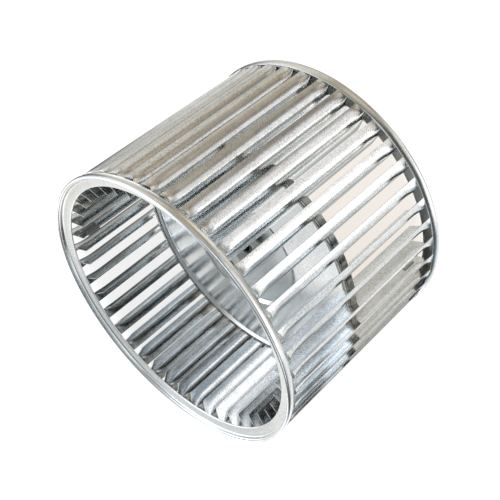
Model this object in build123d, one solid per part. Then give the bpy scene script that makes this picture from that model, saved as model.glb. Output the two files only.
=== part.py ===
from build123d import *
import math
import os

# Double-inlet, forward-curved, direct-drive blower wheel of galvanised sheet.
# Millimetres. The origin is the wheel's centre and Y is its axis. The front
# inlet faces -Y, the rear inlet faces +Y, and +Z is up with the wheel standing
# on its rim. Angles phi are in the XZ plane, in degrees from +X towards +Z,
# and the wheel turns towards +phi.

# ---- driving dimensions -------------------------------------------------
WHEEL_R = 120.65          # 9-1/2 in over the end rings
WIDTH = 181.0             # 7-1/8 in over the end rings
HALF_W = WIDTH / 2
GAP = 0.03                # clearance between touching sheet parts

BLADES = 43
PITCH = 360.0 / BLADES
BLADE_TIP_R = 119.4       # outer (leaving) edge
BLADE_ROOT_R = 100.1      # inner (entering) edge
BLADE_T = 0.55            # sheet
BLADE_LAG = 6.2           # degrees that the inner edge trails the outer edge
BLADE_SAG = 4.8           # bow of the blade between its two edges
FIRST_TIP = 31.84         # phi of blade_01's outer edge

RING_T = 0.8              # end ring sheet
RING_EYE_R = 108.9        # inlet opening
RING_EYE_DEPTH = 5.7      # how far the opening's lip is set in from the face
RING_DEPTH = 7.4          # axial height of the ring's side
RING_BACK_R = 119.13      # back edge of the crowned side
RING_CORNER_R = 1.8       # rounded corner between face and side
RING_CROWN_R = 9.0        # crown of the side, in profile

DISC_T = 1.2              # centre disc sheet
DISC_FRONT_Y = -0.9       # front surface of the flat centre
DISC_STEP_R = 52.0        # radius of the pressed step round the centre
DISC_RIM_R = 106.4        # outside of the turned rim
DISC_RIM_HALF = 3.75      # half the rim's width
DISC_CORNER_R = 2.0       # bend into the turned rim

HUB_R = 17.5              # 35 mm barrel
HUB_FRONT = 20.5          # barrel end, in front of the wheel's mid-plane
HUB_BACK = 4.6            # swaged end, behind it
HUB_CHAMFER = 0.8
HUB_SPIGOT_R = 13.5       # neck through the disc
HUB_SWAGE_R = 16.6
BORE_R = 6.38             # for a 12.7 mm (1/2 in) shaft
BORE_CHAMFER = 0.6

SCREW_R = 3.92            # 5/16 in set screw
SCREW_HOLE_R = SCREW_R + 0.05
SCREW_LEN = 9.5
SCREW_CHAMFER = 0.45
SCREW_Y = -8.2
SCREW_PHI = 58.5
SCREW_TIP = 6.75          # radius of the tip at rest, just outside the bore
SCREW_SOCKET_AF = 3.97    # across flats
SCREW_SOCKET_DEPTH = 4.4
HOLE_MOUTH = 0.9          # height and flare of the hole's conical mouth
HOLE_MOUTH_SINK = 0.75    # how far the mouth starts below the barrel's surface

CLIP_T = 0.8
CLIP_LEN = 11.5           # along the blade
CLIP_DEPTH = 8.0          # from the blade's inner edge outwards
DIMPLE_DEPTH = 0.45
# Blade number that each clip sits on, and the clip's middle along Y
CLIPS = {
    "balance_clip_front": (19, -70.3),
    "balance_clip_rear": (41, 70.0),
}

FROM_BASE = (Align.CENTER, Align.CENTER, Align.MIN)


def write(name, shape):
    shape.label = name
    export_step(shape, f"parts/{name}.step")


def polar(radius, angle):
    """Point at an angle in degrees."""
    return radius * math.cos(math.radians(angle)), radius * math.sin(math.radians(angle))


def arc_points(centre_x, centre_y, radius, start, end, steps):
    """Points along an arc, both ends included."""
    points = []
    for i in range(steps + 1):
        x, y = polar(radius, start + (end - start) * i / steps)
        points.append((centre_x + x, centre_y + y))
    return points


def turned(profile):
    """Revolve a profile drawn with x as the radius and y along the wheel's axis."""
    return revolve(profile, Axis.Y, 360)


def sheet(points, thick, side):
    """Closed profile of sheet `thick` along a polyline, with mitred corners.

    side +1 lays the thickness to the left of the direction of travel, -1 to
    the right.
    """
    normals = []    # unit normals to the left of each segment
    for (x0, y0), (x1, y1) in zip(points, points[1:]):
        length = math.hypot(x1 - x0, y1 - y0)
        normals.append(((y0 - y1) / length, (x1 - x0) / length))
    offset = []
    for (x, y), before, after in zip(points, normals[:1] + normals, normals + normals[-1:]):
        mitre_x, mitre_y = before[0] + after[0], before[1] + after[1]
        scale = side * thick / (before[0] * mitre_x + before[1] * mitre_y)
        offset.append((x + scale * mitre_x, y + scale * mitre_y))
    return make_face(Polyline(*points, *reversed(offset), close=True))


# ---- end rings ----------------------------------------------------------
def ring_path():
    """Outside surface, as (radius, depth below the ring's face).

    It runs from the lip of the inlet outwards over the bead and back to the
    blades.
    """
    return [
        # lip and flange
        (RING_EYE_R, RING_EYE_DEPTH),
        (RING_EYE_R + 0.5, RING_EYE_DEPTH - 0.75),
        (112.6, 4.25), (116.2, 3.55),
        # inner side of the bead
        (116.75, 3.25), (117.1, 2.6),
        (117.35, 1.75), (117.75, 1.35), (118.3, 1.25),
        *arc_points(118.9, 0.95, 0.75, 200, 270, 3)[1:-1],
        # rounded outer corner of the bead
        (118.95, 0.0),
        *arc_points(WHEEL_R - RING_CORNER_R, RING_CORNER_R, RING_CORNER_R, 280, 360, 6),
        # crowned side of the bead, drawn in towards the blades
        *arc_points(WHEEL_R - RING_CROWN_R, 2.2, RING_CROWN_R, 0, 26, 5),
        (RING_BACK_R, RING_DEPTH),
    ]


def end_ring(end):
    """end is +1 for the rear ring and -1 for the front ring."""
    points = [(radius, end * (HALF_W - depth)) for radius, depth in ring_path()]
    return turned(sheet(points, RING_T, -end))


# ---- centre disc --------------------------------------------------------
def centre_disc():
    # Front surface of the sheet as (radius, y), from the hub outwards
    front_surface = [
        # flat centre
        (HUB_SPIGOT_R + GAP, DISC_FRONT_Y), (DISC_STEP_R - 4.0, DISC_FRONT_Y),
        # pressed step
        (DISC_STEP_R - 2.6, -1.15), (DISC_STEP_R - 1.3, -2.0),
        (DISC_STEP_R, -2.9), (DISC_STEP_R + 1.3, -3.2),
        # shallow cone
        (98.4, -0.75), (99.7, -0.95),
        # rim bead
        (101.0, -2.2), (101.9, -3.1), (103.1, -DISC_RIM_HALF),
        # turned rim
        *arc_points(DISC_RIM_R - DISC_CORNER_R, -DISC_RIM_HALF + DISC_CORNER_R,
                    DISC_CORNER_R, -90, 0, 5),
        (DISC_RIM_R, DISC_RIM_HALF),
    ]
    return turned(sheet(front_surface, DISC_T, 1))


# ---- hub and set screw --------------------------------------------------
# At the wheel's axis, with local z running outwards along the screw
SCREW_X_DIR, SCREW_Z_DIR = polar(1.0, SCREW_PHI)
SCREW_PLANE = Plane(
    origin=(0, SCREW_Y, 0), x_dir=(0, 1, 0), z_dir=(SCREW_X_DIR, 0, SCREW_Z_DIR)
)


def hub():
    shoulder_y = DISC_FRONT_Y - GAP
    swage_y = DISC_FRONT_Y + DISC_T + GAP
    profile = [
        # barrel
        (BORE_R, -HUB_FRONT + BORE_CHAMFER),
        (BORE_R + BORE_CHAMFER, -HUB_FRONT),
        (HUB_R - HUB_CHAMFER, -HUB_FRONT),
        (HUB_R, -HUB_FRONT + HUB_CHAMFER),
        (HUB_R, shoulder_y),
        # spigot through the disc
        (HUB_SPIGOT_R, shoulder_y),
        (HUB_SPIGOT_R, swage_y),
        # swaged end
        (HUB_SWAGE_R, swage_y),
        (HUB_SWAGE_R, 1.6),
        (HUB_SWAGE_R - 1.2, 2.8),
        (HUB_SPIGOT_R - 1.5, HUB_BACK - 0.8),
        (HUB_SPIGOT_R - 3.2, HUB_BACK),
        (BORE_R + BORE_CHAMFER, HUB_BACK),
        (BORE_R, HUB_BACK - BORE_CHAMFER),
    ]
    body = turned(make_face(Polyline(*profile, close=True)))
    hole = SCREW_PLANE * Pos(0, 0, BORE_R / 2) * Cylinder(SCREW_HOLE_R, HUB_R, align=FROM_BASE)
    mouth = SCREW_PLANE * Pos(0, 0, HUB_R - HOLE_MOUTH_SINK) * Cone(
        SCREW_HOLE_R, SCREW_HOLE_R + HOLE_MOUTH, HOLE_MOUTH, align=FROM_BASE
    )
    return body - hole - mouth


def set_screw():
    body = Pos(0, 0, SCREW_TIP) * Cylinder(SCREW_R, SCREW_LEN, align=FROM_BASE)
    body = chamfer(body.edges().filter_by(GeomType.CIRCLE), SCREW_CHAMFER)
    hexagon = RegularPolygon(SCREW_SOCKET_AF / 2, 6, major_radius=False)
    socket = Pos(0, 0, SCREW_TIP + SCREW_LEN - SCREW_SOCKET_DEPTH) * extrude(
        hexagon, SCREW_SOCKET_DEPTH + 1
    )
    # conical recess in the tip
    cup = Pos(0, 0, SCREW_TIP - 0.01) * Cone(2.1, 0.6, 0.9, align=FROM_BASE)
    return SCREW_PLANE * (body - socket - cup)


# ---- blades -------------------------------------------------------------
# Section: a circular arc from the outer edge to the inner edge, bowed
# backwards and outwards, so that its hollow side leads in the direction of
# rotation (+phi).
def blade_arc(tip_phi):
    """Centre (x, z), radius, angle of the outer edge and sweep to the inner edge.

    The angles are in radians about the arc's centre.
    """
    outer_x, outer_z = polar(BLADE_TIP_R, tip_phi)
    inner_x, inner_z = polar(BLADE_ROOT_R, tip_phi - BLADE_LAG)
    chord_x, chord_z = outer_x - inner_x, outer_z - inner_z
    chord = math.hypot(chord_x, chord_z)
    radius = (chord * chord / 4 + BLADE_SAG * BLADE_SAG) / (2 * BLADE_SAG)
    # (chord_z, -chord_x) points to the trailing, outward side of the chord
    shift = (BLADE_SAG - radius) / chord
    centre_x = (outer_x + inner_x) / 2 + chord_z * shift
    centre_z = (outer_z + inner_z) / 2 - chord_x * shift
    outer_angle = math.atan2(outer_z - centre_z, outer_x - centre_x)
    inner_angle = math.atan2(inner_z - centre_z, inner_x - centre_x)
    sweep = math.remainder(inner_angle - outer_angle, math.tau)
    return (centre_x, centre_z), radius, outer_angle, sweep


def arc_at(tip_phi, shift, trim=0.0):
    """Start, middle and end (x, z) of the arc, from the outer edge inwards.

    shift is added to its radius; trim is the fraction cut off at the outer edge.
    """
    (centre_x, centre_z), radius, outer_angle, sweep = blade_arc(tip_phi)
    points = []
    for fraction in (trim, (trim + 1) / 2, 1):
        angle = outer_angle + sweep * fraction
        points.append((
            centre_x + (radius + shift) * math.cos(angle),
            centre_z + (radius + shift) * math.sin(angle),
        ))
    return points


def curved_plate(tip_phi, hollow_shift, bowed_shift, y0, y1, trim=0.0):
    """The blade's arc as a plate between two offsets, from y0 to y1."""
    bowed = arc_at(tip_phi, bowed_shift, trim)
    hollow = arc_at(tip_phi, hollow_shift, trim)
    edges = [
        ThreePointArc(*bowed),
        Line(bowed[2], hollow[2]),
        ThreePointArc(*reversed(hollow)),
        Line(hollow[0], bowed[0]),
    ]
    # Plane.XZ has its local y along +Z and its normal along -Y.
    plate = extrude(Plane.XZ * make_face(edges), -(y1 - y0))
    return Pos(0, y0, 0) * plate


def blade_outline():
    """Outline of a blade as (radius, y), symmetrical about y = 0."""
    corner_y = HALF_W - RING_DEPTH - 0.40
    outer_r = BLADE_TIP_R + 1.0     # beyond the blade's edges, so the arc sets them
    inner_r = BLADE_ROOT_R - 1.0
    relief_r = 102.0
    relief_y = 10.4
    notch_y = DISC_RIM_HALF + 0.1
    half = [
        # square outer corner
        (outer_r, 0.0), (outer_r, corner_y), (119.0, corner_y),
        # crescent between the outer corner and the tab
        (118.4, corner_y - 0.40), (117.7, corner_y - 0.90), (116.9, corner_y - 1.35),
        (116.0, corner_y - 1.50), (115.1, corner_y - 1.20), (114.6, corner_y - 0.65),
        (114.4, corner_y),
        # tab, its end following the back of the ring's flange
        (114.4, HALF_W - 5.0), (112.6, HALF_W - 5.3), (109.9, HALF_W - 6.0),
        # end edge slanting down to the inner corner
        (109.6, HALF_W - 6.7), (101.0, HALF_W - 8.8), (100.5, HALF_W - 8.97),
        (inner_r, HALF_W - 9.6),
        # relief of the inner edge beside the disc
        (inner_r, relief_y), (relief_r, relief_y - 0.9), (relief_r, notch_y),
        # notch over the disc's rim
        (DISC_RIM_R + GAP, notch_y),
    ]
    return half + [(radius, -y) for radius, y in reversed(half[1:])]


def first_blade():
    outline = turned(make_face(Polyline(*blade_outline(), close=True)))
    plate = curved_plate(FIRST_TIP, -BLADE_T / 2, BLADE_T / 2, -HALF_W, HALF_W)
    return plate & outline


# ---- balance clips ------------------------------------------------------
def balance_clip(blade_number, y_mid):
    """A strip folded over a blade's inner edge, with a dimple pressed into it."""
    tip_phi = FIRST_TIP + PITCH * (blade_number - 1)
    (centre_x, centre_z), radius, outer_angle, sweep = blade_arc(tip_phi)
    trim = 1 - CLIP_DEPTH / (radius * abs(sweep))
    y0, y1 = y_mid - CLIP_LEN / 2, y_mid + CLIP_LEN / 2
    near = BLADE_T / 2 + GAP        # clip surfaces, from the middle of the blade's sheet
    far = near + CLIP_T
    bowed_leg = curved_plate(tip_phi, near, far, y0, y1, trim)
    hollow_leg = curved_plate(tip_phi, -far, -near, y0, y1, trim)

    # fold round the blade's edge: the half of a tube that lies beyond the edge
    edge_x, edge_z = arc_at(tip_phi, 0.0)[2]
    fold_outside = Cylinder(far, CLIP_LEN, rotation=(90, 0, 0))
    fold_inside = Cylinder(near, CLIP_LEN + 2, rotation=(90, 0, 0))
    tube = Pos(edge_x, y_mid, edge_z) * (fold_outside - fold_inside)
    # the sweep is clockwise, so this is the arc's direction as it leaves the edge
    inner_angle = outer_angle + sweep
    edge_plane = Plane(
        origin=(edge_x, y_mid, edge_z),
        x_dir=(0, 1, 0),
        z_dir=(math.sin(inner_angle), 0, -math.cos(inner_angle)),
    )
    # starts 0.02 back so that the fold overlaps the legs
    beyond = edge_plane * Pos(0, 0, -0.02) * Box(CLIP_LEN + 4, 8, 8, align=FROM_BASE)
    body = bowed_leg + hollow_leg + (tube & beyond)

    # dimple on the hollow side
    x, z = arc_at(tip_phi, -far, trim)[1]
    dimple_plane = Plane(
        origin=(x, y_mid, z), x_dir=(0, 1, 0), z_dir=(centre_x - x, 0, centre_z - z)
    )
    return body - dimple_plane * Pos(0, 0, -DIMPLE_DEPTH) * Cone(
        0.9, 1.7, 0.75, align=FROM_BASE
    )


# ---- build --------------------------------------------------------------
os.makedirs("parts", exist_ok=True)
write("rear_end_ring", end_ring(+1))
write("front_end_ring", end_ring(-1))
write("centre_disc", centre_disc())
write("hub", hub())
write("set_screw", set_screw())

blade = first_blade()
for k in range(BLADES):
    # a negative turn about Y is towards +phi
    write(f"blade_{k + 1:02d}", Rot(0, -PITCH * k, 0) * blade)

for clip_name, (blade_number, y_mid) in CLIPS.items():
    write(clip_name, balance_clip(blade_number, y_mid))
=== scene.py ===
# A sheet-metal blade wheel: 43 curved blades between two rolled end rings, carried
# by a pressed centre disc on a hub. The wheel is centred on the origin and turns
# about Y, with its front ring at -Y. Angles run from +X towards +Z.
# Sizes are in millimetres and are scaled to metres when a mesh is made.
import math

import bpy
import numpy as np
from mathutils import Matrix, Vector


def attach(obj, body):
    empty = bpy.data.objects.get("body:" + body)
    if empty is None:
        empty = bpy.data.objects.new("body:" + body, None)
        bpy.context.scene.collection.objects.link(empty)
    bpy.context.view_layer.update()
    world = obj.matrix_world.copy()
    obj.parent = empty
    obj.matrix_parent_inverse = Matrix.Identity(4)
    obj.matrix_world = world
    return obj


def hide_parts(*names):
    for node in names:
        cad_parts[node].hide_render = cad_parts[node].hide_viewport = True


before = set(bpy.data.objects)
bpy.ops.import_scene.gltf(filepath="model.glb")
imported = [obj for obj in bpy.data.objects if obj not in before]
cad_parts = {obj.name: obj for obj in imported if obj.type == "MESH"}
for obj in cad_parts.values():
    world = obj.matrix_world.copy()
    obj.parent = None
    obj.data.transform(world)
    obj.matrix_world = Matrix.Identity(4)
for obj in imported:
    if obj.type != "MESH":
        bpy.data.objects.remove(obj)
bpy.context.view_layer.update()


scene = bpy.context.scene
MM = 0.001

# ---------------------------------------------------------------- main dimensions
WHEEL_R = 120.65
HALF_W = 90.5            # half the wheel's width along Y
LATHE_SEGMENTS = 400
SHARP_ANGLE = 50.0

RING_T = 0.8
RING_DEPTH = 7.4         # how far a ring's outer wall reaches inwards from its end
EYE_R, EYE_INSET = 108.9, 5.7   # ring's inner edge: radius, distance from the end

DISC_T = 1.2
DISC_RIM_R, DISC_RIM_HALF = 106.4, 3.75
DISC_STEP_R = 52.0
HUB_SPIGOT_R = 13.5

BLADES = 43
PITCH = 360.0 / BLADES
FIRST_TIP = 31.84        # angle of the first blade's outer edge
BLADE_T = 0.55
TIP_R, ROOT_R = 119.4, 100.1
LAG = 6.2                # the inner edge trails the outer one by this angle
Y_CUT = HALF_W - RING_DEPTH - 0.40   # nominal end of a blade, short of the ring's wall


# ---------------------------------------------------------------- node helpers
class NodeBuilder:
    """Adds nodes to a tree; inputs are given as sockets to link or as plain values."""

    def __init__(self, tree):
        self.tree = tree
        tree.nodes.clear()

    def feed(self, socket, value):
        if isinstance(value, bpy.types.NodeSocket):
            self.tree.links.new(value, socket)
        elif value is not None:
            if socket.type == "RGBA":
                value = (*value, 1.0)
            socket.default_value = value

    def __call__(self, kind, inputs=None, **props):
        node = self.tree.nodes.new(kind)
        for key, value in props.items():
            setattr(node, key, value)
        for key, value in (inputs or {}).items():
            self.feed(node.inputs[key], value)
        return node

    def math(self, op, a, b=None, clamp=False):
        return self("ShaderNodeMath", {0: a, 1: b}, operation=op, use_clamp=clamp).outputs[0]

    def vector_math(self, op, inputs):
        return self("ShaderNodeVectorMath", inputs, operation=op).outputs[0]

    def add_scaled(self, base, value, by, clamp=False):
        """base + value * by"""
        return self.math("ADD", base, self.math("MULTIPLY", value, by), clamp)

    def swing(self, base, value, by, clamp=False):
        """base + (value - 0.5) * by"""
        return self.add_scaled(base, self.math("SUBTRACT", value, 0.5), by, clamp)

    def ramp(self, value, lo, hi, start=0.0, end=1.0, kind="SMOOTHSTEP"):
        inputs = {0: value, 1: lo, 2: hi, 3: start, 4: end}
        return self("ShaderNodeMapRange", inputs, interpolation_type=kind).outputs[0]

    def mix(self, base, factor, to, amount=None, blend="MIX"):
        """Takes the base colour towards another by factor, times amount if given."""
        if amount is not None:
            factor = self.math("MULTIPLY", factor, amount)
        return self("ShaderNodeMix", {0: factor, 6: base, 7: to},
                    data_type="RGBA", blend_type=blend, clamp_factor=True).outputs[2]

    def noise(self, vector, scale, detail=2.0, rough=0.5):
        inputs = {"Vector": vector, "Scale": scale, "Detail": detail, "Roughness": rough}
        return self("ShaderNodeTexNoise", inputs).outputs[0]

    def stretched(self, vector, scale):
        return self("ShaderNodeMapping", {"Vector": vector, "Scale": scale}).outputs[0]

    def coords(self, kind="Object"):
        return self("ShaderNodeTexCoord").outputs[kind]

    def edge_wear(self):
        """1 on the mesh's convex edges."""
        geometry = self("ShaderNodeNewGeometry")
        return self.ramp(geometry.outputs["Pointiness"], lo=0.52, hi=0.60)


def new_material(name):
    material = bpy.data.materials.new(name)
    material.use_nodes = True
    nodes = NodeBuilder(material.node_tree)
    output = nodes("ShaderNodeOutputMaterial")
    bsdf = nodes("ShaderNodeBsdfPrincipled")
    nodes.feed(output.inputs[0], bsdf.outputs[0])
    return material, nodes, bsdf


def finish_metal(nodes, bsdf, colour, rough, height, distance, strength, metallic=1.0):
    """Joins colour, roughness and a bump of the given height to the shader."""
    bump = nodes("ShaderNodeBump",
                 {"Height": height, "Distance": distance, "Strength": strength})
    nodes.feed(bsdf.inputs["Base Color"], colour)
    nodes.feed(bsdf.inputs["Roughness"], rough)
    nodes.feed(bsdf.inputs["Normal"], bump.outputs[0])
    nodes.feed(bsdf.inputs["Metallic"], metallic)


# ---------------------------------------------------------------- materials
def galvanised(
    name,
    spangle, mottle, grain, streak,     # strength of each layer of the finish
    bump, rough,
    cool=(0.83, 0.86, 0.875),
    warm=(0.845, 0.85, 0.835),
    frost_height=0.0035,
    streak_scale=(520.0, 14.0, 520.0),
):
    """Hot-dip galvanised sheet: zinc spangle of a few millimetres, fine frost
    between the crystals, faint rolling streaks, and a rippled reflection."""
    material, nodes, bsdf = new_material(name)
    coords = nodes.coords()

    # crystals with wavy borders; each has a random colour whose channels drive
    # its tint, roughness and height
    warp = nodes("ShaderNodeTexNoise", {"Vector": coords, "Scale": 160.0, "Detail": 2.0})
    shift = nodes.vector_math("SUBTRACT", {0: warp.outputs["Color"], 1: (0.5, 0.5, 0.5)})
    shift = nodes.vector_math("SCALE", {0: shift, "Scale": 0.0035})
    warped = nodes.vector_math("ADD", {0: coords, 1: shift})
    crystals = nodes("ShaderNodeTexVoronoi", {"Vector": warped, "Scale": 260.0})
    crystal = nodes("ShaderNodeSeparateColor", {0: crystals.outputs["Color"]}).outputs

    broad = nodes.noise(coords, scale=16.0, detail=3.0)
    patch = nodes.noise(coords, scale=65.0, detail=3.0, rough=0.6)
    frost = nodes.noise(coords, scale=1000.0, rough=0.6)
    frosted = nodes.ramp(frost, lo=0.40, hi=0.62)
    streaks = nodes.noise(nodes.stretched(coords, streak_scale),
                          scale=1.0, detail=3.0, rough=0.55)

    colour = nodes.mix(cool, nodes.ramp(broad, lo=0.35, hi=0.65), to=warm)
    tinted = nodes.ramp(crystal[0], lo=0.0, hi=1.0, kind="LINEAR")
    colour = nodes.mix(colour, tinted, to=(0.86, 0.88, 0.90), amount=0.22 * spangle)
    patchy = nodes.ramp(patch, lo=0.28, hi=0.58, start=0.25, end=1.0)
    dark = nodes.math("MULTIPLY", patchy, frosted)
    colour = nodes.mix(colour, dark, to=(0.36, 0.35, 0.33), amount=0.75 * mottle)
    light = nodes.math("MULTIPLY", nodes.ramp(frost, lo=0.42, hi=0.30),
                       nodes.ramp(patch, lo=0.35, hi=0.6))
    colour = nodes.mix(colour, light, to=(0.95, 0.95, 0.93), amount=0.5 * mottle)
    colour = nodes.mix(colour, nodes.ramp(streaks, lo=0.45, hi=0.75),
                       to=(0.46, 0.47, 0.47), amount=0.25 * streak)

    rough = nodes.swing(rough, crystal[1], by=0.10 * spangle)
    rough = nodes.swing(rough, frost, by=0.30 * mottle)
    rough = nodes.swing(rough, streaks, by=0.10 * streak, clamp=True)

    ripple = nodes.noise(coords, scale=520.0, detail=3.0, rough=0.6)
    height = nodes.math("MULTIPLY", ripple, 0.010 * grain)
    height = nodes.add_scaled(height, frost, by=frost_height * grain)
    height = nodes.add_scaled(height, crystal[2], by=0.0030 * spangle)
    height = nodes.add_scaled(height, streaks, by=0.0030 * streak)
    finish_metal(nodes, bsdf, colour, rough, height, distance=0.010, strength=bump)
    return material


def cut_edge(name):
    """The sheared edge of the sheet: bare steel, finely mottled, with stains."""
    material, nodes, bsdf = new_material(name)
    coords = nodes.coords()
    fine = nodes.noise(coords, scale=900.0, detail=3.0)
    stains = nodes.noise(coords, scale=90.0)
    steel = (0.86, 0.86, 0.84)
    colour = nodes.mix(steel, nodes.ramp(fine, lo=0.35, hi=0.7),
                       to=tuple(c * 0.80 for c in steel))
    colour = nodes.mix(colour, nodes.ramp(stains, lo=0.55, hi=0.75),
                       to=(0.40, 0.37, 0.33), amount=0.4)
    rough = nodes.add_scaled(0.24, fine, by=0.25)
    finish_metal(nodes, bsdf, colour, rough, fine, distance=0.00008, strength=0.5)
    return material


def turned_steel(name):
    """Zinc-plated turned hub: fine tool marks round the axis."""
    material, nodes, bsdf = new_material(name)
    coords = nodes.coords()
    x, y, z = nodes("ShaderNodeSeparateXYZ", {0: coords}).outputs
    squares = [nodes.math("POWER", axis, 2.0) for axis in (x, z)]
    radius = nodes.math("SQRT", nodes.math("ADD", *squares))
    marks_per_metre = 2600.0
    profile = nodes("ShaderNodeCombineXYZ", {0: nodes.math("MULTIPLY", radius, marks_per_metre),
                                             1: nodes.math("MULTIPLY", y, marks_per_metre)})
    marks = nodes.noise(profile.outputs[0], scale=1.0, rough=0.7)
    blotches = nodes.noise(coords, scale=140.0, detail=3.0)
    fine = nodes.noise(coords, scale=1400.0)
    colour = nodes.mix((0.55, 0.56, 0.53), nodes.ramp(blotches, lo=0.35, hi=0.7),
                       to=(0.42, 0.43, 0.38))
    colour = nodes.mix(colour, nodes.ramp(marks, lo=0.4, hi=0.7),
                       to=(0.68, 0.69, 0.67), amount=0.35)
    rough = nodes.add_scaled(0.26, fine, by=0.16)
    finish_metal(nodes, bsdf, colour, rough, marks, distance=0.00003, strength=0.7)
    return material


def black_oxide(name):
    """Blackened steel, worn bright on its edges."""
    material, nodes, bsdf = new_material(name)
    grain = nodes.noise(nodes.coords(), scale=700.0, detail=3.0)
    colour = nodes.mix((0.035, 0.035, 0.037), nodes.ramp(grain, lo=0.3, hi=0.7),
                       to=(0.075, 0.073, 0.070))
    colour = nodes.mix(colour, nodes.edge_wear(), to=(0.42, 0.41, 0.40), amount=0.7)
    rough = nodes.add_scaled(0.30, grain, by=0.20)
    finish_metal(nodes, bsdf, colour, rough, grain,
                 distance=0.00006, strength=0.6, metallic=0.9)
    return material


def spring_strip(name):
    """Dull rolled spring strip of the balance clips."""
    material, nodes, bsdf = new_material(name)
    coords = nodes.coords()
    grain = nodes.noise(coords, scale=620.0, detail=4.0, rough=0.6)
    lines = nodes.noise(nodes.stretched(coords, (1800.0, 60.0, 1800.0)), scale=1.0)
    colour = nodes.mix((0.15, 0.155, 0.155), nodes.ramp(grain, lo=0.3, hi=0.7),
                       to=(0.25, 0.25, 0.245))
    colour = nodes.mix(colour, nodes.ramp(lines, lo=0.5, hi=0.8),
                       to=(0.34, 0.34, 0.33), amount=0.4)
    colour = nodes.mix(colour, nodes.edge_wear(), to=(0.55, 0.55, 0.54), amount=0.6)
    rough = nodes.add_scaled(0.30, grain, by=0.22)
    height = nodes.math("ADD", grain, lines)
    finish_metal(nodes, bsdf, colour, rough, height, distance=0.00005, strength=0.6)
    return material


M_BLADE = galvanised("galvanised_blade", spangle=0.7, mottle=0.7, grain=0.42, streak=0.35,
                     bump=0.5, rough=0.16, frost_height=0.026)
M_RING = galvanised("galvanised_ring", spangle=0.3, mottle=0.35, grain=0.3, streak=0.2,
                    bump=0.45, rough=0.22, cool=(0.84, 0.855, 0.86), warm=(0.85, 0.85, 0.83),
                    frost_height=0.012, streak_scale=(60.0, 900.0, 60.0))
# Same zinc as the rings, painted darker to stand in for the shade on the rings' inside faces.
M_RING_IN_PAINTED_SHADE = galvanised("galvanised_ring_inside_painted_shade", spangle=0.3, mottle=0.5, grain=0.3,
                       streak=0.2, bump=0.45, rough=0.34, cool=(0.34, 0.37, 0.37),
                       warm=(0.36, 0.37, 0.35), frost_height=0.010,
                       streak_scale=(60.0, 900.0, 60.0))
M_DISC = galvanised("galvanised_disc", spangle=0.45, mottle=0.3, grain=0.18, streak=0.2,
                    bump=0.4, rough=0.23, cool=(0.82, 0.85, 0.87), warm=(0.83, 0.84, 0.83),
                    streak_scale=(120.0, 120.0, 120.0))
# Same zinc as the disc, painted darker to stand in for the shade and dark reflections on the
# rolled rim.
M_DISC_RIM_PAINTED_SHADE = galvanised("rolled_disc_rim_painted_shade", spangle=0.3, mottle=0.5, grain=0.2, streak=0.4,
                        bump=0.4, rough=0.26, cool=(0.36, 0.37, 0.37),
                        warm=(0.34, 0.33, 0.30), streak_scale=(60.0, 1200.0, 60.0))
M_EDGE = cut_edge("sheared_edge")
M_HUB = turned_steel("turned_hub_steel")
M_SCREW = black_oxide("black_oxide_screw")
M_CLIP = spring_strip("clip_spring_strip")


# ---------------------------------------------------------------- mesh helpers
def add_object(name, data):
    ob = bpy.data.objects.new(name, data)
    scene.collection.objects.link(ob)
    return ob


def shade_smooth(mesh, sharp_angle):
    mesh.polygons.foreach_set("use_smooth", np.ones(len(mesh.polygons), bool))
    mesh.update()
    mesh.validate()
    mesh.set_sharp_from_angle(angle=math.radians(sharp_angle))


def add_part(name, verts, faces, materials, skins, node):
    """Makes a part of the wheel; skins holds one material index per face."""
    mesh = bpy.data.meshes.new(name)
    mesh.from_pydata([tuple(v * MM for v in p) for p in verts], [], faces)
    for material in materials:
        mesh.materials.append(material)
    mesh.polygons.foreach_set("material_index", np.asarray(skins, np.int32))
    shade_smooth(mesh, SHARP_ANGLE)
    ob = add_object(name, mesh)
    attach(ob, "wheel")
    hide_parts(node)


def grid_quad(i, j, columns):
    """Corners of cell (i, j) in a grid of vertices stored row by row."""
    near, far = i * columns + j, (i + 1) * columns + j
    return near, far, far + 1, near + 1


def sheet_loop(points, thick):
    """Closed loop round a sheet, mitred at corners. The second face lies to the
    left of the path, or to its right if thick is negative."""
    directions = []
    for (x0, y0), (x1, y1) in zip(points, points[1:]):
        length = math.hypot(x1 - x0, y1 - y0)
        directions.append(((x1 - x0) / length, (y1 - y0) / length))
    offset = []
    for i, (x, y) in enumerate(points):
        around = directions[max(0, i - 1):i + 1]
        nx = sum(-d[1] for d in around)
        ny = sum(d[0] for d in around)
        length = math.hypot(nx, ny)
        nx, ny = nx / length, ny / length
        cos = -around[0][1] * nx + around[0][0] * ny
        offset.append((x + thick * nx / cos, y + thick * ny / cos))
    return list(points) + offset[::-1]


def refine(loop, step):
    """Splits long edges, then cuts corners so that every bend is round."""
    points = []
    for a, b in zip(loop, loop[1:] + loop[:1]):
        parts = max(1, int(math.ceil(math.hypot(b[0] - a[0], b[1] - a[1]) / step)))
        for j in range(parts):
            t = j / parts
            points.append((a[0] + (b[0] - a[0]) * t, a[1] + (b[1] - a[1]) * t))
    for _ in range(2):
        cut = []
        for a, b in zip(points, points[1:] + points[:1]):
            cut.append((a[0] * 0.75 + b[0] * 0.25, a[1] * 0.75 + b[1] * 0.25))
            cut.append((a[0] * 0.25 + b[0] * 0.75, a[1] * 0.25 + b[1] * 0.75))
        points = cut
    # thin out straight runs, leaving no gap of 1.6 steps or more
    keep = [points[0]]
    for b, c in zip(points[1:], points[2:] + points[:1]):
        a = keep[-1]
        ux, uy, vx, vy = b[0] - a[0], b[1] - a[1], c[0] - b[0], c[1] - b[1]
        bend = abs(ux * vy - uy * vx) / max(1e-9, math.hypot(ux, uy) * math.hypot(vx, vy))
        if bend >= 1e-4 or math.hypot(c[0] - a[0], c[1] - a[1]) >= step * 1.6:
            keep.append(b)
    return keep


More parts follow.
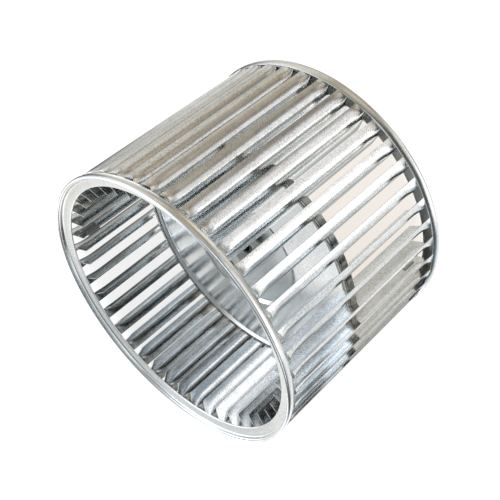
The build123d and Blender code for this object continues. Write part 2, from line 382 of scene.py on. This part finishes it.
def lathe(name, loop, materials, skin, wobble, node):
    """Turns a closed (radius, y) loop about the Y axis. skin(r, y) picks each
    face's material; wobble(r, y, angle) gives its shifts along radius and Y."""
    following = loop[1:] + loop[:1]
    if sum(r0 * y1 - r1 * y0 for (r0, y0), (r1, y1) in zip(loop, following)) > 0:
        loop = loop[::-1]
    count = len(loop)
    verts, faces, skins = [], [], []
    for s in range(LATHE_SEGMENTS):
        angle = 2 * math.pi * s / LATHE_SEGMENTS
        for r, y in loop:
            dr, dy = wobble(r, y, angle)
            verts.append(((r + dr) * math.cos(angle), y + dy, (r + dr) * math.sin(angle)))
    for s in range(LATHE_SEGMENTS):
        t = (s + 1) % LATHE_SEGMENTS
        for i in range(count):
            j = (i + 1) % count
            faces.append((s * count + i, s * count + j, t * count + j, t * count + i))
            skins.append(skin((loop[i][0] + loop[j][0]) / 2, (loop[i][1] + loop[j][1]) / 2))
    add_part(name, verts, faces, materials, skins, node)


def arc_points(cx, cy, radius, start, end, steps):
    angles = [math.radians(start + (end - start) * i / steps) for i in range(steps + 1)]
    return [(cx + radius * math.cos(a), cy + radius * math.sin(a)) for a in angles]


# ---------------------------------------------------------------- end rings
# Outer face of a ring, from the eye to the wall's inner end:
# (radius, distance inwards from the wheel's end).
RING_PATH = [
    (EYE_R, EYE_INSET), (EYE_R + 0.5, EYE_INSET - 0.75), (112.6, 4.25), (116.2, 3.55),
    (116.75, 3.25), (117.1, 2.6), (117.35, 1.75), (117.75, 1.35), (118.3, 1.25),
    *arc_points(118.9, 0.95, 0.75, 200, 270, 3)[1:-1],
    (118.95, 0.0),
    *arc_points(WHEEL_R - 1.8, 1.8, 1.8, 280, 360, 8),
    *arc_points(WHEEL_R - 9.0, 2.2, 9.0, 0, 26, 8),
    (119.13, RING_DEPTH),
]
# Unevenness round a ring: (amplitude, waves per turn, multiplier of the seed).
RADIAL_WAVES = ((0.035, 7, 1.0), (0.025, 17, 2.1), (0.018, 43, 1.0))
AXIAL_WAVES = ((0.030, 11, 1.7), (0.020, 29, 1.0))


def ring_skin(r, y):
    """0 outside, 1 sheared edges, 2 inside of the ring, darkened as painted shade."""
    if r < EYE_R + 0.35 or abs(y) < HALF_W - RING_DEPTH + 0.12:
        return 1
    inset = HALF_W - abs(y)
    near = math.inf
    for (r0, s0), (r1, s1) in zip(RING_PATH, RING_PATH[1:]):
        dr, ds = r1 - r0, s1 - s0
        t = ((r - r0) * dr + (inset - s0) * ds) / (dr ** 2 + ds ** 2)
        t = max(0.0, min(1.0, t))
        near = min(near, math.hypot(r - r0 - t * dr, inset - s0 - t * ds))
    return 2 if near > RING_T * 0.55 else 0


def end_ring(name, node, sign, seed):
    path = [(r, sign * (HALF_W - inset)) for r, inset in RING_PATH]
    loop = refine(sheet_loop(path, -sign * RING_T), step=0.7)

    def waves(table, angle):
        return sum(size * math.sin(count * angle + k * seed) for size, count, k in table)

    def wobble(r, y, angle):
        rise = min(1.0, max(0.0, (r - 109.0) / 6.0))   # none at the eye
        axial = 0.6 * (1 if r < 117.5 else 0.3)        # weaker on the outer wall
        return (-abs(waves(RADIAL_WAVES, angle)) * rise,
                waves(AXIAL_WAVES, angle) * axial - sign * 0.03)

    lathe(name, loop, [M_RING, M_EDGE, M_RING_IN_PAINTED_SHADE], ring_skin, wobble, node)


end_ring("rolled_front_ring", "front_end_ring", sign=-1, seed=0.7)
end_ring("rolled_rear_ring", "rear_end_ring", sign=+1, seed=2.9)

# ---------------------------------------------------------------- centre disc
# Front face of the disc, from the hub outwards: (radius, y).
DISC_PATH = [
    (HUB_SPIGOT_R + 0.03, -0.9), (DISC_STEP_R - 4.0, -0.9),
    (DISC_STEP_R - 2.6, -1.15), (DISC_STEP_R - 1.3, -2.0),
    (DISC_STEP_R, -2.9), (DISC_STEP_R + 1.3, -3.2),
    (98.4, -0.75), (99.7, -0.95),
    (101.0, -2.2), (101.9, -3.1), (103.1, -DISC_RIM_HALF),
    *arc_points(DISC_RIM_R - 2.0, -DISC_RIM_HALF + 2.0, 2.0, -90, 0, 8),
    (DISC_RIM_R, DISC_RIM_HALF),
]


def disc_skin(r, y):
    """0 web, 1 sheared edges, 2 rolled rim, darkened as painted shade and reflection."""
    if (r > 104.5 and y > DISC_RIM_HALF - 0.15) or r < HUB_SPIGOT_R + 0.05:
        return 1
    return 2 if r > 102.2 else 0


def disc_wobble(r, y, angle):
    """Slow waves across the web that die out at the hub and the rim."""
    fade = min(1.0, max(0.0, (r - 20.0) / 20.0)) * min(1.0, max(0.0, (105.0 - r) / 4.0))
    wave = 0.09 * math.sin(3 * angle + 0.6) * math.sin(r / 21.0)
    wave += 0.045 * math.sin(8 * angle + r / 11.0)
    return 0.0, wave * fade


lathe("pressed_centre_disc", refine(sheet_loop(DISC_PATH, DISC_T), step=1.2),
      [M_DISC, M_EDGE, M_DISC_RIM_PAINTED_SHADE], disc_skin, disc_wobble, "centre_disc")

# ---------------------------------------------------------------- blade shape
# The section lies in the XZ plane with its outer edge on +X. It is a rational
# quadratic curve from the outer edge (t = 0) to the inner edge (t = 1): a broad,
# nearly flat crown, then a round shoulder and a straight flank. Towards a ring
# the shoulder is drawn out to a corner.
OUTER_EDGE = np.array([TIP_R, 0.0])
INNER_EDGE = ROOT_R * np.array([math.cos(math.radians(-LAG)), math.sin(math.radians(-LAG))])
# control point and weight, along the span and at the blade's ends
CONTROL_MID, WEIGHT_MID = OUTER_EDGE + np.array([-2.2, -12.4]), 1.25
CONTROL_END, WEIGHT_END = OUTER_EDGE + np.array([1.3, -10.2]), 2.8
FLARE = 15.0             # length along Y over which the section changes
LIP, LIP_LENGTH = 0.15, 5.0   # rise of the crown against the ring, and its length
END_OVERRUN = 0.10
CROWN_T, CORNER_T = 0.47, 0.52   # ends of the crown's hollow edge and of its corner
CROWN_HOLLOW = 1.6
# radii at which the end edge of the flank changes course
FLANK_TOP_R, FLANK_STEP_R, FLANK_SLANT_R = 118.0, 115.4, 109.7
# cuts in the inner edge: a notch for the disc's rim and a wider relief within it
NOTCH_R, NOTCH_HALF = DISC_RIM_R + 0.06, 3.86
RELIEF_R, RELIEF_HALF = 102.0, 10.0
ROW_GAP = 0.004          # rows nearer than this to a cut's row are dropped
Y_FIX = 68.0             # beyond this the rows stretch to meet the end edge

# mesh stations along Y: the +Y half, from the notch to the end
HALF_STATIONS = [
    NOTCH_HALF, 5.5, 8.2, 9.8, 10.4, 14, 20, 26, 32, 38, 44, 50, 56, 61, 65, 68, 70.5, 72.5,
    74, 75.5, 77, 78.2, 79.2, 80.1, 80.9, 81.5, 82.0, 82.4, Y_CUT,
]
STATIONS = [-y for y in reversed(HALF_STATIONS)] + [-1.3, 1.3] + HALF_STATIONS


def section(t, flare):
    control = CONTROL_MID + (CONTROL_END - CONTROL_MID) * flare
    weight = WEIGHT_MID + (WEIGHT_END - WEIGHT_MID) * flare
    b0, b1, b2 = (1 - t) ** 2, 2 * weight * t * (1 - t), t * t
    return (OUTER_EDGE * b0 + control * b1 + INNER_EDGE * b2) / (b0 + b1 + b2)


def flare_at(y):
    return min(1.0, max(0.0, (y - (Y_CUT - FLARE)) / FLARE)) ** 2.6


def end_y(t):
    """How far along Y the blade reaches at each place across its section."""
    r = float(np.hypot(*section(t, 1.0)))
    if t <= CROWN_T:
        # slight hollow between the two corners of the crown
        return Y_CUT + END_OVERRUN - CROWN_HOLLOW * math.sin(math.pi * (t / CROWN_T)) ** 0.8
    if t <= CORNER_T:
        return Y_CUT + END_OVERRUN
    if r > FLANK_STEP_R:
        return Y_CUT + END_OVERRUN + max(0.0, FLANK_TOP_R - r)
    if r > FLANK_SLANT_R:
        return HALF_W - 5.05 - (FLANK_STEP_R - r) * 0.19
    # slanted end edge down to the square inner corner
    return HALF_W - 6.7 - (FLANK_SLANT_R - r) * 0.245


def t_at_radius(radius):
    """Finds the place on the unflared flank at a given radius."""
    lo, hi = 0.3, 1.0
    for _ in range(40):
        mid = (lo + hi) / 2
        if float(np.hypot(*section(mid, 0.0))) > radius:
            lo = mid
        else:
            hi = mid
    return (lo + hi) / 2


cut_ts = [t_at_radius(NOTCH_R), t_at_radius(RELIEF_R)]
cut_rows = [round(t, 5) for t in cut_ts]
spans = ((0, 0.46, 17), (0.46, 0.54, 5), (0.54, 0.80, 8), (0.80, 1.0, 9))
rows = [round(t, 5) for span in spans for t in np.linspace(*span)]
rows = [t for t in sorted(set(rows + cut_rows))
        if t in cut_rows or all(abs(t - cut) > ROW_GAP for cut in cut_ts)]


def blade_surface():
    """Mid-surface of a blade and its normals, as grids of rows by stations."""
    mid = np.zeros((len(rows), len(STATIONS), 3))
    for i, t in enumerate(rows):
        end = end_y(t)
        for j, station in enumerate(STATIONS):
            y = abs(station)
            if y > Y_FIX:
                y = Y_FIX + (y - Y_FIX) * (end - Y_FIX) / (Y_CUT - Y_FIX)
            # the crown turns up in a small lip against the ring
            lip = max(0.0, (min(y, Y_CUT) - (Y_CUT - LIP_LENGTH)) / LIP_LENGTH) ** 2
            lip *= min(1.0, max(0.0, (0.58 - t) / 0.14))
            x, z = section(t, flare_at(y)) * (1.0 + LIP * lip / TIP_R)
            mid[i, j] = (x, math.copysign(y, station), z)
    normals = np.cross(np.gradient(mid, axis=0), np.gradient(mid, axis=1))
    normals /= np.maximum(1e-12, np.linalg.norm(normals, axis=2, keepdims=True))
    return mid, normals


def blade_faces():
    """Faces of both skins and of the edge walls, their materials, and the
    vertices in use once the cuts are left out."""
    columns = len(STATIONS)
    skin_size = len(rows) * columns
    notch_row, relief_row = (rows.index(t) for t in cut_rows)
    notch = range(STATIONS.index(-NOTCH_HALF), STATIONS.index(NOTCH_HALF))

    def is_cut(i, j):
        centre = abs((STATIONS[j] + STATIONS[j + 1]) / 2)
        return (i >= notch_row and j in notch) or (i >= relief_row and centre < RELIEF_HALF)

    faces, skins, edges = [], [], []
    for i in range(len(rows) - 1):
        for j in range(columns - 1):
            if is_cut(i, j):
                continue
            quad = grid_quad(i, j, columns)
            faces += [quad, tuple(skin_size + v for v in reversed(quad))]
            skins += [0, 0]
            edges += zip(quad, quad[1:] + quad[:1])
    # walls along every open edge of the sheet
    present = set(edges)
    for p, q in edges:
        if (q, p) not in present:
            faces.append((q, p, skin_size + p, skin_size + q))
            skins.append(1)
    used = sorted({v for face in faces for v in face})
    renumber = {v: new for new, v in enumerate(used)}
    return [tuple(renumber[v] for v in face) for face in faces], skins, used


BLADE_MID, BLADE_NORMALS = blade_surface()
BLADE_FACES, BLADE_SKINS, BLADE_USED = blade_faces()


# ---------------------------------------------------------------- blades
def ripples(phase, strength):
    """Slow ripples left by forming, fading out at the ends and long edges."""
    y = BLADE_MID[:, :, 1]
    t = np.array(rows)[:, None]
    fade = np.clip((Y_CUT - 1.5 - np.abs(y)) / 12.0, 0, 1)
    arch = np.sin(math.pi * t) ** 0.7
    return (
        0.050 * strength[0] * np.sin(y / 17.0 + phase[0]) * np.sin(2.2 * t + phase[1])
        + 0.035 * strength[1] * np.sin(y / 8.5 + phase[2] + 3 * t)
        + 0.016 * strength[2] * np.sin(y / 4.1 + phase[3]) * np.sin(6 * t + phase[4])
        + 0.060 * strength[3] * np.sin(y / 40.0 + phase[5])
    ) * fade * arch


def blade(k):
    rng = np.random.RandomState(1000 + k)
    phase = rng.rand(8) * 2 * math.pi
    strength = 0.6 + 0.8 * rng.rand(4)
    misalignment = math.radians((rng.rand() - 0.5) * 0.16)
    angle = math.radians(FIRST_TIP + PITCH * k) + misalignment
    cos, sin = math.cos(angle), math.sin(angle)

    mid = BLADE_MID + BLADE_NORMALS * ripples(phase, strength)[:, :, None]
    half = BLADE_NORMALS * (BLADE_T / 2)
    x, y, z = np.vstack([(mid + half).reshape(-1, 3), (mid - half).reshape(-1, 3)]).T
    verts = np.stack([x * cos - z * sin, y, x * sin + z * cos], 1)[BLADE_USED]
    add_part(f"formed_blade_{k + 1:02d}", verts.tolist(), BLADE_FACES, [M_BLADE, M_EDGE],
             BLADE_SKINS, f"blade_{k + 1:02d}")


for k in range(BLADES):
    blade(k)

# ---------------------------------------------------------------- carried-over nodes
for node, material in (("hub", M_HUB), ("set_screw", M_SCREW),
                       ("balance_clip_front", M_CLIP), ("balance_clip_rear", M_CLIP)):
    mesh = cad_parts[node].data
    mesh.materials.clear()
    mesh.materials.append(material)
    mesh.polygons.foreach_set("use_smooth", np.ones(len(mesh.polygons), bool))
    mesh.set_sharp_from_angle(angle=math.radians(35.0))

# ---------------------------------------------------------------- floor (metres)
CAMERA_PLACE = Vector((0.325082, -0.359544, 0.530944))
FLOOR_Z = -WHEEL_R * MM - 0.0002
SHADE_INSET, SHADE_BLUR = 0.003, 0.022   # the shade's soft border, inside the outline


def floor_material():
    """Pale glowing floor whose glow carries a painted shadow, greyer where its "shade"
    attribute is high.
    """
    material, nodes, bsdf = new_material("studio_floor")
    coords = nodes.coords()
    grain = nodes.noise(coords, scale=60.0)
    colour = nodes.mix((0.30, 0.30, 0.30), grain, to=(0.34, 0.34, 0.34), amount=0.04)
    y = nodes("ShaderNodeSeparateXYZ", {0: coords}).outputs[1]
    # the painted shadow turns from neutral to warm towards +Y
    painted_shadow_colour = nodes.mix((0.68, 0.68, 0.68), nodes.ramp(y, lo=0.02, hi=0.16),
                             to=(0.71, 0.655, 0.605))
    shade = nodes("ShaderNodeAttribute", attribute_name="shade").outputs["Fac"]
    # painted shadow: the floor's glow dims to the shade colour inside the wheel's projected
    # outline
    glow_with_painted_shadow = nodes.mix((0.95, 0.95, 0.95), shade, to=painted_shadow_colour)
    for key, value in (("Base Color", colour), ("Emission Color", glow_with_painted_shadow),
                       ("Roughness", 0.9), ("Emission Strength", 1.0)):
        nodes.feed(bsdf.inputs[key], value)
    return material


def wheel_outline():
    """Convex outline of the wheel projected from the camera onto the floor."""
    points = []
    for y in (-HALF_W, HALF_W):
        for i in range(120):
            a = 2 * math.pi * i / 120
            ray = Vector((WHEEL_R * math.cos(a), y, WHEEL_R * math.sin(a))) * MM - CAMERA_PLACE
            reach = (FLOOR_Z - CAMERA_PLACE.z) / ray.z
            points.append((CAMERA_PLACE.x + ray.x * reach, CAMERA_PLACE.y + ray.y * reach))
    points.sort()

    def turns_left(a, b, c):
        return (b[0] - a[0]) * (c[1] - a[1]) - (b[1] - a[1]) * (c[0] - a[0]) > 0

    def half_hull(ordered):
        hull = []
        for p in ordered:
            while len(hull) > 1 and not turns_left(hull[-2], hull[-1], p):
                hull.pop()
            hull.append(p)
        return hull[:-1]

    return half_hull(points) + half_hull(points[::-1])


def add_floor():
    """Floor with a painted shadow in its glow, shaped like the soft shade that a lamp beside
    the camera would leave behind the wheel, kept as one value per vertex."""
    material = floor_material()
    outline = wheel_outline()
    # fine grid under the wheel, coarse far out
    ticks = np.concatenate([[-4.0, -1.5, -0.7], np.linspace(-0.36, 0.46, 206), [0.8, 1.6, 4.0]])
    x, y = np.meshgrid(ticks, ticks, indexing="ij")
    depth = np.full(x.shape, 9.0)
    for (x0, y0), (x1, y1) in zip(outline, outline[1:] + outline[:1]):
        length = math.hypot(x1 - x0, y1 - y0)
        depth = np.minimum(depth, ((x1 - x0) * (y - y0) - (y1 - y0) * (x - x0)) / length)
    t = np.clip((depth - SHADE_INSET) / SHADE_BLUR, 0, 1)
    shade = t * t * (3 - 2 * t)

    count = len(ticks)
    verts = np.stack([x, y, np.full(x.shape, FLOOR_Z)], 2).reshape(-1, 3)
    faces = [grid_quad(i, j, count) for i in range(count - 1) for j in range(count - 1)]
    mesh = bpy.data.meshes.new("floor")
    mesh.from_pydata(verts.tolist(), [], faces)
    attribute = mesh.attributes.new("shade", "FLOAT", "POINT")
    attribute.data.foreach_set("value", shade.reshape(-1).astype(np.float32))
    mesh.materials.append(material)
    mesh.update()
    return add_object("floor", mesh)


floor = add_floor()
# the metal mirrors the studio defined by the world; the floor is seen directly
floor.visible_glossy = False

# ---------------------------------------------------------------- world light
# Soft panels of light: azimuth and elevation of the centre, half-angles of the
# full core and of the outer border (all in degrees), colour.
PANELS = [
    (-90, 2, 12, 42, (0.22, 0.235, 0.24)),
    (-135, -18, 6, 26, (1.77, 1.74, 1.72)),
    (-60, 45, 6, 26, (1.32, 1.45, 1.54)),
    (-30, -18, 6, 26, (1.21, 1.27, 1.33)),
    (30, 0, 6, 26, (1.16, 1.19, 1.26)),
    (120, -18, 6, 26, (1.23, 1.08, 1.05)),
    (60, -75, 6, 26, (0.88, 0.95, 1.07)),
    (-38, 18, 6, 26, (0.89, 0.97, 1.03)),
    (-103, -55, 6, 26, (0.92, 0.92, 0.91)),
    (36, 35, 6, 26, (0.82, 0.79, 0.77)),
    (54, -35, 6, 26, (0.84, 0.83, 0.82)),
    (-150, 0, 14, 55, (0.71, 0.80, 0.92)),
    (90, 18, 6, 26, (0.82, 0.77, 0.66)),
    (-144, 35, 6, 26, (0.61, 0.71, 0.85)),
    (135, 0, 6, 26, (0.74, 0.72, 0.68)),
    (-120, -75, 10, 38, (0.72, 0.71, 0.70)),
    (-120, 18, 6, 26, (0.73, 0.69, 0.65)),
    (136, -18, 4, 18, (0.64, 0.65, 0.67)),
    (-120, 45, 6, 26, (0.49, 0.61, 0.77)),
    (126, -35, 6, 26, (0.50, 0.52, 0.50)),
    (-162, -35, 6, 26, (0.53, 0.51, 0.48)),
    (45, 0, 10, 38, (0.49, 0.47, 0.45)),
    (77, -55, 6, 26, (0.46, 0.47, 0.47)),
    (162, 35, 10, 38, (0.43, 0.44, 0.45)),
    (-180, -55, 6, 26, (0.40, 0.42, 0.45)),
    (60, 75, 6, 26, (0.40, 0.36, 0.31)),
    (64, 36, 4, 18, (0.36, 0.37, 0.40)),
    (108, 35, 6, 26, (0.31, 0.26, 0.19)),
    (-180, 55, 14, 55, (0.33, 0.29, 0.22)),
    (26, -36, 4, 18, (0.18, 0.26, 0.36)),
    (77, 55, 6, 26, (0.16, 0.14, 0.12)),
]


def add_world():
    """A softly lit room: a faint ambient tone and a set of large soft panels."""
    world = bpy.data.worlds.new("studio")
    scene.world = world
    world.use_nodes = True
    nodes = NodeBuilder(world.node_tree)
    output = nodes("ShaderNodeOutputWorld")
    background = nodes("ShaderNodeBackground")
    nodes.feed(output.inputs[0], background.outputs[0])
    ray = nodes.coords("Generated")
    z = nodes("ShaderNodeSeparateXYZ", {0: ray}).outputs[2]
    colour = nodes.mix((0.051, 0.055, 0.049), nodes.ramp(z, lo=-0.15, hi=0.05),
                       to=(0.054, 0.054, 0.049))
    for *angles, light in PANELS:
        azimuth, elevation, core, border = map(math.radians, angles)
        centre = (math.cos(azimuth) * math.cos(elevation),
                  math.sin(azimuth) * math.cos(elevation), math.sin(elevation))
        dot = nodes("ShaderNodeVectorMath", {0: ray, 1: centre}, operation="DOT_PRODUCT")
        lobe = nodes.ramp(dot.outputs["Value"], lo=math.cos(border), hi=math.cos(core))
        panel = nodes.mix((0.0, 0.0, 0.0), lobe, to=light)
        colour = nodes.mix(colour, 1.0, to=panel, blend="ADD")
    # seen directly, past the floor's edge, the room is a plain pale backdrop
    direct = nodes("ShaderNodeLightPath").outputs["Is Camera Ray"]
    colour = nodes.mix(colour, direct, to=(1.0, 1.0, 1.0))
    nodes.feed(background.inputs["Color"], colour)
    nodes.feed(background.inputs["Strength"], 1.0)


add_world()

# ---------------------------------------------------------------- camera
CAMERA_AXES = (
    (0.74606762, 0.66587019, 0.0),             # right
    (-0.49205563, 0.55131882, 0.67374239),     # up
    (0.44862498, -0.50265738, 0.7389663),      # back, away from the wheel
)
camera_data = bpy.data.cameras.new("camera")
camera = add_object("camera", camera_data)
camera_data.lens = 65.332
camera_data.sensor_width = 36.0
camera_data.clip_start = 0.01
pose = Matrix(CAMERA_AXES).transposed().to_4x4()
pose.translation = CAMERA_PLACE
camera.matrix_world = pose
scene.camera = camera
scene.view_settings.view_transform = "Standard"
scene.view_settings.look = "None"
